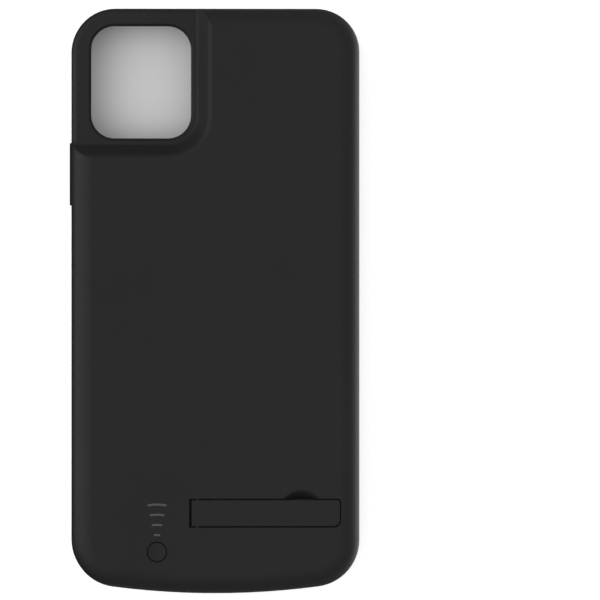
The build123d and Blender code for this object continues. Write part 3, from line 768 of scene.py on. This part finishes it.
def keep(piece, material):
    """Gives a modelled piece its shading and finish, and fixes it to the case."""
    activate(piece)
    bpy.ops.object.shade_smooth_by_angle(angle=SMOOTH_ANGLE)
    piece.data.materials.clear()
    piece.data.materials.append(material)
    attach(piece, "case")
    print("modelled", piece.name, "with", len(piece.data.polygons), "faces")


print("copy and keep helpers ready")

# %% Boxes of separate solids
CORNER_DIGITS = 7


def solid_boxes(name):
    """The corners of each separate solid in a node, from left to right."""
    mesh = nodes[name].data
    keys = [tuple(round(c, CORNER_DIGITS) for c in vertex.co) for vertex in mesh.vertices]
    owner = {key: key for key in keys}

    def head(key):
        while owner[key] != key:
            owner[key] = owner[owner[key]]
            key = owner[key]
        return key

    for face in mesh.polygons:
        corners = [head(keys[index]) for index in face.vertices]
        for corner in corners[1:]:
            owner[head(corner)] = head(corners[0])
    groups = {}
    for key in owner:
        groups.setdefault(head(key), []).append(key)
    boxes = [tuple(Vector(map(side, *group)) for side in (min, max)) for group in groups.values()]
    return sorted(boxes, key=lambda box: tuple(box[0]))


screw_spots = solid_boxes("board_screws")
print("separate screws in the model:", len(screw_spots))

# %% [markdown]
# ## Cross-recess screws
# Three pan-head screws hold the board to the tray. On the model they are plain heads on plain
# shanks. A real screw has a domed head with a cross recess and a rolled thread. The head is a
# cylinder with a bevelled rim. The thread is the bottom face, inset to the root of the thread and
# then extruded in steps that grow and shrink in turn; such rings are hard to tell from a helix at
# this size and close cleanly. The recess is a cross, cut with a Boolean.

# %% A block with arms


def armed_block(name, middle, halves, ways, reach):
    """A block about a point, whose faces towards some directions are pulled out to a reach."""
    piece = new_block(name, middle - halves, middle + halves)
    for way in ways:
        half = abs(halves.dot(way))

        def core_face(centre, normal):
            sideways = (centre - middle).cross(way).length
            return normal.dot(way) > FACING and sideways < half / 2

        pick(piece, "FACE", core_face)
        pull(way * (reach - half))
    close()
    return piece


print("cross maker ready")

# %% Head and thread of one screw
HEAD_ROUND = 0.45 * MM
ROOT_RADIUS = 0.55 * MM
CREST_RADIUS = 0.70 * MM
RIDGES = 5
screw_low, screw_high = screw_spots[0]
screw_middle = (screw_low + screw_high) / 2
board_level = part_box("main_board")[1].z
head_radius = (screw_high.x - screw_low.x) / 2
head_foot = Vector((screw_middle.x, screw_middle.y, board_level))
screw = new_rod("board_screw_1", head_foot, head_radius, screw_high.z - board_level)
pick(screw, "EDGE", lambda point: point.z > screw_high.z - TOUCH)
bpy.ops.mesh.bevel(offset=HEAD_ROUND, segments=4, affect="EDGES")
pick(screw, "FACE", facing(-Z_WAY))
bpy.ops.mesh.inset(thickness=head_radius - ROOT_RADIUS)
half_pitch = (board_level - screw_low.z) / RIDGES / 2
radius = ROOT_RADIUS
for ridge in range(RIDGES):
    for target in (CREST_RADIUS, ROOT_RADIUS):
        pull(-Z_WAY * half_pitch)
        share = target / radius
        bpy.ops.transform.resize(value=(share, share, 1), center_override=screw_middle)
        radius = target
close()
print("screw head", round(2 * head_radius / MM, 2), "mm across,", RIDGES, "ridges of thread")

# %% Cut the recess and copy the screw
RECESS_HALF = 0.16 * MM
RECESS_REACH = 0.75 * MM
RECESS_DEPTH = 0.5 * MM
CROSS_WAYS = (X_WAY, -X_WAY, Y_WAY, -Y_WAY)
recess_middle = Vector((screw_middle.x, screw_middle.y, screw_high.z))
recess_halves = Vector((RECESS_HALF, RECESS_HALF, RECESS_DEPTH))
cut(screw, armed_block("recess", recess_middle, recess_halves, CROSS_WAYS, RECESS_REACH))
screw_steel = drawn_metal("screw_steel", (0.52, 0.52, 0.50), (0.28, 0.40), line=0.10 * MM)
screws = [screw]
for number, (low, high) in enumerate(screw_spots[1:], 2):
    screws.append(copy_of(screw, f"board_screw_{number}", (low + high) / 2 - screw_middle))
for piece in screws:
    keep(piece, screw_steel)
    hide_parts("board_screws")

# %% [markdown]
# ## Chips with solder lands
# The control chips are flat packages without legs: a moulded block of black resin that tapers to
# its top, with a round mark at one corner, and tinned lands that show as a row of dots under each
# side. The block is a cube whose top face is scaled in. The mark is cut with a thin rod, and the
# lands are one small block repeated by two Arrays, once along the side and once across to the
# opposite side.

# %% Rows of lands
LAND_PITCH = 0.5 * MM
LAND_HALF = 0.13 * MM
LAND_LENGTH = 0.4 * MM
LAND_SHOWS = 0.06 * MM
LAND_HEIGHT = 0.06 * MM
LAND_TAPER = 0.85
chip_spots = solid_boxes("control_chips")


def taper_top(piece, share, middle):
    """Scales the top face of a piece about a middle, so that its sides lean in."""
    pick(piece, "FACE", facing(Z_WAY))
    bpy.ops.transform.resize(value=(share, share, 1), center_override=middle)
    close()


def land_rows(name, low, high, way):
    """Two rows of lands under two opposite sides of a chip, each row running along one direction."""
    across = X_WAY + Y_WAY - way
    size = (high - low).dot(way)
    count = int((size - 2 * LAND_LENGTH) / LAND_PITCH) + 1
    middle = (low + high) / 2
    first = middle.dot(way) - (count - 1) / 2 * LAND_PITCH
    edge = low.dot(across) - LAND_SHOWS
    near = way * (first - LAND_HALF) + across * edge + Z_WAY * low.z
    far = way * (first + LAND_HALF) + across * (edge + LAND_LENGTH) + Z_WAY * (low.z + LAND_HEIGHT)
    land = new_block(name, near, far)
    taper_top(land, LAND_TAPER, (near + far) / 2)
    repeat(land, count, way * LAND_PITCH)
    repeat(land, 2, across * (size + 2 * LAND_SHOWS - LAND_LENGTH))
    return land


print("lands for", len(chip_spots), "chips, every", LAND_PITCH / MM, "mm")

# %% Model the chips
CHIP_TAPER = 0.96
CHIP_ROUND = 0.05 * MM
MARK_RADIUS = 0.22 * MM
MARK_DEPTH = 0.05 * MM
MARK_INSET = 0.55 * MM
resin = spark_texture("chip_black", tone=0.016)
solder = drawn_metal("solder_tin", (0.62, 0.62, 0.60), (0.25, 0.38), line=0.15 * MM)
for number, (low, high) in enumerate(chip_spots, 1):
    chip = new_block(f"control_chip_{number}", low + Z_WAY * LAND_HEIGHT, high)
    taper_top(chip, CHIP_TAPER, (low + high) / 2)
    soften(chip, CHIP_ROUND)
    mark = Vector((low.x + MARK_INSET, high.y - MARK_INSET, high.z - MARK_DEPTH))
    cut(chip, new_rod("corner_mark", mark, MARK_RADIUS, 2 * MARK_DEPTH, sides=20))
    keep(chip, resin)
    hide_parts("control_chips")
    lands = land_rows(f"chip_lands_{number}", low, high, X_WAY)
    other_rows = land_rows("other_rows", low, high, Y_WAY)
    activate(lands)
    other_rows.select_set(True)
    bpy.ops.object.join()
    keep(lands, solder)

# %% [markdown]
# ## Terminals and solder
# The coil sits in two bent tin terminals, and each lead of the cell ends in a drop of solder. A
# terminal starts as a thin upright block. A bisect parts its foot from its wall, and the outer face
# of the foot is extruded to make the bend. A drop of solder is a sphere, cut off at the board with
# bisect and pressed flat, because molten tin spreads on copper.

# %% Coil terminals
TERMINAL_SHEET = 0.15 * MM
TERMINAL_HALF = 1.3 * MM
TERMINAL_HEIGHT = 1.4 * MM
TERMINAL_FOOT = 0.5 * MM
TERMINAL_ROUND = 0.04 * MM


def turn_half(piece, axis, centre):
    """Turns a piece by half a turn about an axis through a point."""
    activate(piece)
    bpy.ops.transform.rotate(value=pi, orient_axis=axis, center_override=centre)
    bpy.ops.object.transform_apply(location=True, rotation=True, scale=True)


coil_low, coil_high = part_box("boost_inductor")
coil_middle = (coil_low + coil_high) / 2
wall_low = Vector((coil_low.x - TERMINAL_SHEET, coil_middle.y - TERMINAL_HALF, coil_low.z))
wall_high = Vector((coil_low.x, coil_middle.y + TERMINAL_HALF, coil_low.z + TERMINAL_HEIGHT))
terminal = new_block("coil_terminal_1", wall_low, wall_high)
bend = wall_low + Z_WAY * TERMINAL_SHEET
pick(terminal, "FACE", every_face)
bpy.ops.mesh.bisect(plane_co=bend, plane_no=Z_WAY)
pick(terminal, "FACE", lambda centre, normal: normal.x < -FACING and centre.z < bend.z)
pull(-X_WAY * TERMINAL_FOOT)
close()
soften(terminal, TERMINAL_ROUND)
partner = copy_of(terminal, "coil_terminal_2", (0, 0, 0))
turn_half(partner, "Z", coil_middle)
for piece in (terminal, partner):
    keep(piece, solder)

# %% Solder drops at the leads
DROP_RADIUS = 0.85 * MM
DROP_FLAT = 0.7
for number, (low, high) in enumerate(solid_boxes("cell_leads"), 1):
    lead_radius = (high.x - low.x) / 2
    foot = Vector(((low.x + high.x) / 2, low.y + lead_radius, board_level))
    bpy.ops.object.select_all(action="DESELECT")
    bpy.ops.mesh.primitive_uv_sphere_add(segments=24, ring_count=16, radius=DROP_RADIUS, location=foot)
    drop = settle(f"solder_drop_{number}")
    pick(drop, "FACE", every_face)
    bpy.ops.mesh.bisect(plane_co=foot, plane_no=Z_WAY, use_fill=True, clear_inner=True)
    pick(drop, "FACE", every_face)
    bpy.ops.transform.resize(value=(1, 1, DROP_FLAT), center_override=foot)
    close()
    keep(drop, solder)

# %% [markdown]
# ## Contacts in the charging socket
# The tongue of the socket carries a row of gilded springs on each face. Each is a narrow strip with
# a sloped nose, so that a plug slides over it. One strip is a cube whose front edge is pressed
# down; an Array makes the row, and a copy turned half round the tongue makes the row on the other
# face.

# %% Socket contacts
SPRING_COUNT = 12
SPRING_PITCH = 0.5 * MM
SPRING_HALF = 0.13 * MM
SPRING_LENGTH = 3.2 * MM
SPRING_SETBACK = 0.5 * MM
SPRING_RISE = 0.05 * MM
SPRING_ROUND = 0.015 * MM
TONGUE_HALF = 0.35 * MM
tongue_low, tongue_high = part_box("input_socket_tongue")
tongue_middle = (tongue_low + tongue_high) / 2
tongue_face = tongue_middle.z + TONGUE_HALF
first_spring = tongue_middle.x - (SPRING_COUNT - 1) / 2 * SPRING_PITCH
spring_start = tongue_low.y + SPRING_SETBACK
spring_end = spring_start + SPRING_LENGTH
spring_low = Vector((first_spring - SPRING_HALF, spring_start, tongue_face - SPRING_RISE))
spring_high = Vector((first_spring + SPRING_HALF, spring_end, tongue_face + SPRING_RISE))
springs = new_block("socket_contacts_back", spring_low, spring_high)
pick(springs, "EDGE", lambda point: point.y < spring_start + TOUCH and point.z > tongue_face)
bpy.ops.transform.translate(value=(0, 0, -SPRING_RISE))
close()
soften(springs, SPRING_ROUND, segments=1)
repeat(springs, SPRING_COUNT, X_WAY * SPRING_PITCH)
front_springs = copy_of(springs, "socket_contacts_front", (0, 0, 0))
turn_half(front_springs, "Y", Vector((tongue_middle.x, spring_start, tongue_middle.z)))
for piece in (springs, front_springs):
    keep(piece, gilded)

# %% [markdown]
# ## The pouch of the cell
# A flat cell is wound foil in a heat-sealed pouch. Its seams are folded up against the long sides,
# the far end is folded too, and at the near end a thin sealed ledge lets the tabs out. A cube makes
# the body. The side faces are inset and pulled out by the thickness of the folded seam, and bisects
# mark out the ledge on the end face, which is then extruded. A Bevel rounds all of it, because foil
# over a winding has no sharp edge.

# %% Model the pouch
LEDGE_LENGTH = 4.2 * MM
LEDGE_HEIGHT = 0.8 * MM
LEDGE_INSET = 4.0 * MM
SEAM = 0.3 * MM
SEAM_INSET = 0.7 * MM
POUCH_ROUND = 0.2 * MM
cell_low, cell_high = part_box("battery_cell")
body_low = Vector((cell_low.x + SEAM, cell_low.y + LEDGE_LENGTH, cell_low.z))
body_high = Vector((cell_high.x - SEAM, cell_high.y - SEAM, cell_high.z))
ledge_half = cell_high.x - LEDGE_INSET
ledge_top = body_low + Z_WAY * LEDGE_HEIGHT


def end_face(centre, normal):
    """A test for the faces of the end that lets the tabs out."""
    return normal.y < -FACING and centre.y < body_low.y + TOUCH


def ledge_face(centre, normal):
    """A test for the field of that end that becomes the ledge."""
    return normal.y < -FACING and centre.z < ledge_top.z and abs(centre.x) < ledge_half


pouch = new_block("pouch_cell", body_low, body_high)
for way in (X_WAY, -X_WAY, Y_WAY):
    pick(pouch, "FACE", facing(way))
    bpy.ops.mesh.inset(thickness=SEAM_INSET)
    pull(way * SEAM)
for point, way in ((ledge_top, Z_WAY), (X_WAY * ledge_half, X_WAY), (-X_WAY * ledge_half, X_WAY)):
    pick(pouch, "FACE", end_face)
    bpy.ops.mesh.bisect(plane_co=point, plane_no=way)
pick(pouch, "FACE", ledge_face)
pull(-Y_WAY * LEDGE_LENGTH)
close()
soften(pouch, POUCH_ROUND, segments=3)
print("pouch of", [round(v / MM, 1) for v in pouch.dimensions], "mm")

# %% Foil of the pouch
FOIL_DARK = (0.56, 0.56, 0.56)
FOIL_LIGHT = (0.66, 0.66, 0.65)
foil = new_finish("pouch_silver", (0.62, 0.62, 0.61), roughness=0.34, metallic=1.0)
crease = cloud(foil, size=9 * MM, detail=5.0)
set_tone(foil, drift(foil, crease, FOIL_DARK, FOIL_LIGHT))
set_gloss(foil, cloud(foil, size=3 * MM, detail=3.0), low=0.28, high=0.42)
set_relief(foil, crease, height=0.25 * MM)
keep(pouch, foil)
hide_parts("battery_cell")

# %% [markdown]
# ## Signs on the volume keys
# The two volume keys are part of the soft bumper and look alike, so the mould gives one a raised
# plus and the other a raised minus. Text would bring a typeface with it, so both are the armed
# block from the screw's recess, laid against the outer wall: with four arms it is a plus, with two
# a minus. The keys are no nodes of their own, so their places are given here. The signs sink a
# little into the key, so that they stand on it without a gap.

# %% Plus and minus
KEY_PLACES = {"plus": 33.55 * MM, "minus": 20.75 * MM}
KEY_LEVEL = 5.15 * MM
SIGN_HALF = 0.17 * MM
SIGN_ARM = 0.8 * MM
SIGN_RISE = 0.1 * MM
SIGN_ROUND = 0.05 * MM
sign_arms = {"plus": (Y_WAY, -Y_WAY, Z_WAY, -Z_WAY), "minus": (Y_WAY, -Y_WAY)}
sign_halves = Vector((SIGN_RISE, SIGN_HALF, SIGN_HALF))
for sign, key_y in KEY_PLACES.items():
    key_face = Vector((cad_high.x, key_y, KEY_LEVEL))
    raised = armed_block(f"volume_{sign}", key_face, sign_halves, sign_arms[sign], SIGN_ARM)
    soften(raised, SIGN_ROUND)
    keep(raised, bumper)

# %% [markdown]
# ## A pale floor
# The case lies on a sheet of white paper that is larger than the picture. Under soft light such
# paper renders a little grey, so a glow lifts it to white for the camera. The glow is left out
# under the case, where no light would reach the paper, so the camera window shows shade. Glossy
# rays see only cards of glow on the paper, as a studio sets them to draw the edges of a black
# product: a white card on the right that fades past the corners, a white card further off on the
# left with black beside the case, a painted shade in the reflection that draws the thin dark line
# along that edge, and a dim grey at the two ends.

# %% Floor
FLOOR_WIDTH = 6.0
FLOOR_TONE = 0.8
FLOOR_GLOW = 0.6
CORNER = 12 * MM
UNDER_EDGE = 1.5 * MM
bpy.ops.object.select_all(action="DESELECT")
bpy.ops.mesh.primitive_plane_add(size=FLOOR_WIDTH)
floor = settle("floor")
floor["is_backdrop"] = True
paper = new_finish("pale_floor", grey(FLOOR_TONE), roughness=1.0, specular=0.0)
paper_shader = shader_of(paper)
paper_shader.inputs["Emission Color"].default_value = (1, 1, 1, 1)
half_size = (cad_high - cad_low) / 2
past = []
for axis, half in zip("XY", half_size):
    off = calc(paper, "SUBTRACT", calc(paper, "ABSOLUTE", along(paper, axis)), half - CORNER)
    past.append(calc(paper, "MAXIMUM", off, 0.0))
outside = spread(paper, hypot(paper, *past), 0.0, 1.0, CORNER - 2 * UNDER_EDGE, CORNER - UNDER_EDGE)
floor.data.materials.append(paper)
print("floor", round(floor.dimensions.x, 1), "m wide")

# %% Cards that reflections see
END_CARD = 0.27
END_SPAN = (-42 * MM, -30 * MM)
LEFT_CARD = 1.6
# Painted shade in reflections: nearer the case than this span, glossy rays see black beside the left
# edge.
LEFT_SPAN = (-54 * MM, -80 * MM)
LEFT_FADE = (60 * MM, 85 * MM)
RIGHT_CARD = 2.4
RIGHT_SPAN = (36 * MM, 60 * MM)
RIGHT_FADE = (70 * MM, 92 * MM)
RIGHT_REST = 0.2
across = along(paper, "X")
endwards = calc(paper, "ABSOLUTE", along(paper, "Y"))
end_card = spread(paper, across, 0.0, END_CARD, *END_SPAN, smooth=True)
left_card = spread(paper, across, 0.0, LEFT_CARD, *LEFT_SPAN, smooth=True)
left_fade = spread(paper, endwards, 1.0, 0.0, *LEFT_FADE, smooth=True)
right_card = spread(paper, across, 0.0, RIGHT_CARD, *RIGHT_SPAN, smooth=True)
right_fade = spread(paper, endwards, 1.0, RIGHT_REST, *RIGHT_FADE, smooth=True)
cards = calc(paper, "MULTIPLY_ADD", left_card, left_fade, end_card)
cards = calc(paper, "MULTIPLY_ADD", right_card, right_fade, cards)
print("cards of", END_CARD, LEFT_CARD, RIGHT_CARD, "at the ends, left and right")

# %% Glow of the paper
rays = add_node(paper, "ShaderNodeLightPath")
mirrored = calc(paper, "ADD", rays.outputs["Is Glossy Ray"], rays.outputs["Is Transmission Ray"])
lift = calc(paper, "MULTIPLY", rays.outputs["Is Camera Ray"], FLOOR_GLOW)
glow = calc(paper, "MULTIPLY_ADD", mirrored, cards, lift)
join(paper, calc(paper, "MULTIPLY", glow, outside), paper_shader.inputs["Emission Strength"])
# Glossy rays see no lit paper, only the cards, so beside the left side of the case they see black:
# painted shade in the reflection.
plain = calc(paper, "SUBTRACT", FLOOR_TONE, calc(paper, "MULTIPLY", mirrored, FLOOR_TONE))
join(paper, plain, paper_shader.inputs["Base Color"])
print("glow of", FLOOR_GLOW, "for the camera")

# %% [markdown]
# ## A soft studio
# One lamp would draw a hard edge on a matt coat, so the whole sky is the lamp: a dome that is
# brightest straight to the left and falls off towards the right and towards both ends of the case.
# At this level a mid grey renders about as it is written. The camera itself, and whatever looks
# through clear plastic, sees plain white behind the floor, while glossy surfaces mirror the dome.

# %% Dome of light
DOME_TOP = 0.81
DOME_LEFT = 2.25
DOME_FROM = 0.15
DOME_TO = -0.75
DOME_WIDTH = (0.2, 0.58)
END_FALL = 0.5
END_TILT = 0.16
world = bpy.data.worlds.new("studio")
bpy.context.scene.world = world
world.use_nodes = True
sky = world.node_tree.nodes["Background"]
sky.inputs["Color"].default_value = (1, 1, 1, 1)
split = add_node(world, "ShaderNodeSeparateXYZ")
join(world, add_node(world, "ShaderNodeTexCoord").outputs["Generated"], split.inputs["Vector"])
left = spread(world, split.outputs["X"], 0.0, DOME_LEFT - DOME_TOP, DOME_FROM, DOME_TO, smooth=True)
off_side = calc(world, "ABSOLUTE", split.outputs["Y"])
abreast = spread(world, off_side, 1.0, 0.0, *DOME_WIDTH, smooth=True)
dome = calc(world, "MULTIPLY_ADD", left, abreast, DOME_TOP)
ends = calc(world, "MULTIPLY", split.outputs["Y"], split.outputs["Y"])
tilt = calc(world, "MULTIPLY_ADD", split.outputs["Y"], END_TILT, 1.0)
fall = calc(world, "SUBTRACT", tilt, calc(world, "MULTIPLY", ends, END_FALL))
join(world, calc(world, "MULTIPLY", dome, fall), sky.inputs["Strength"])
print("dome from", DOME_TOP, "overhead to", DOME_LEFT, "at the left")

# %% White behind the floor
backdrop = add_node(world, "ShaderNodeBackground", Color=(1, 1, 1, 1), Strength=1.0)
choice = add_node(world, "ShaderNodeMixShader")
seen = add_node(world, "ShaderNodeLightPath")
plain_white = calc(world, "MAXIMUM", seen.outputs["Is Camera Ray"], seen.outputs["Is Transmission Ray"])
join(world, plain_white, choice.inputs["Fac"])
join(world, sky.outputs["Background"], choice.inputs[1])
join(world, backdrop.outputs["Background"], choice.inputs[2])
join(world, choice.outputs["Shader"], world.node_tree.nodes["World Output"].inputs["Surface"])
print("world", world.name, "has", len(world.node_tree.nodes), "nodes")

# %% [markdown]
# ## The camera
# The picture was taken from far away, almost straight above, from a little to the left of the case:
# the left wall shows as a thin dark line and the right one doesn't. A long lens keeps the sides
# parallel. The scale is known, because the case is 80 mm wide, so the distance follows from the
# lens and the width of the frame. It is counted to a point on a level within the case, where that
# scale holds.

# %% Camera
PICTURE = 600
PIXEL = 0.27836 * MM
CASE_PIXEL = (215.6, 301.0)
AIM_LEVEL = 9.45 * MM
LENS = 600.0
SENSOR = 36.0
CLIP_END = 20.0
CAMERA_X = -85 * MM
aim_x = (PICTURE / 2 - CASE_PIXEL[0]) * PIXEL
aim_y = (CASE_PIXEL[1] - PICTURE / 2) * PIXEL
distance = PICTURE * PIXEL / SENSOR * LENS
sideways = CAMERA_X - aim_x
height = (distance ** 2 - sideways ** 2) ** 0.5
spot = (CAMERA_X, aim_y, AIM_LEVEL + height)
bpy.ops.object.camera_add(location=spot, rotation=(0, atan2(sideways, height), 0))
camera = bpy.context.object
camera.name = "camera"
camera.data.lens = LENS
camera.data.sensor_width = SENSOR
camera.data.clip_end = CLIP_END
bpy.context.scene.camera = camera
bpy.context.scene.view_settings.view_transform = "Standard"
print("camera", round(distance, 2), "m away")

# %% [markdown]
# ## Size of the dressed case
# The last cell writes the box of the dressed case, to set beside the box of the bare model that the
# first cell wrote, so that it is easy to see how little the new work added to the size of the case.

# %% Box of the dressed case
low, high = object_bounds()
print("dressed size:", [round(v / MM, 2) for v in high - low], "mm")
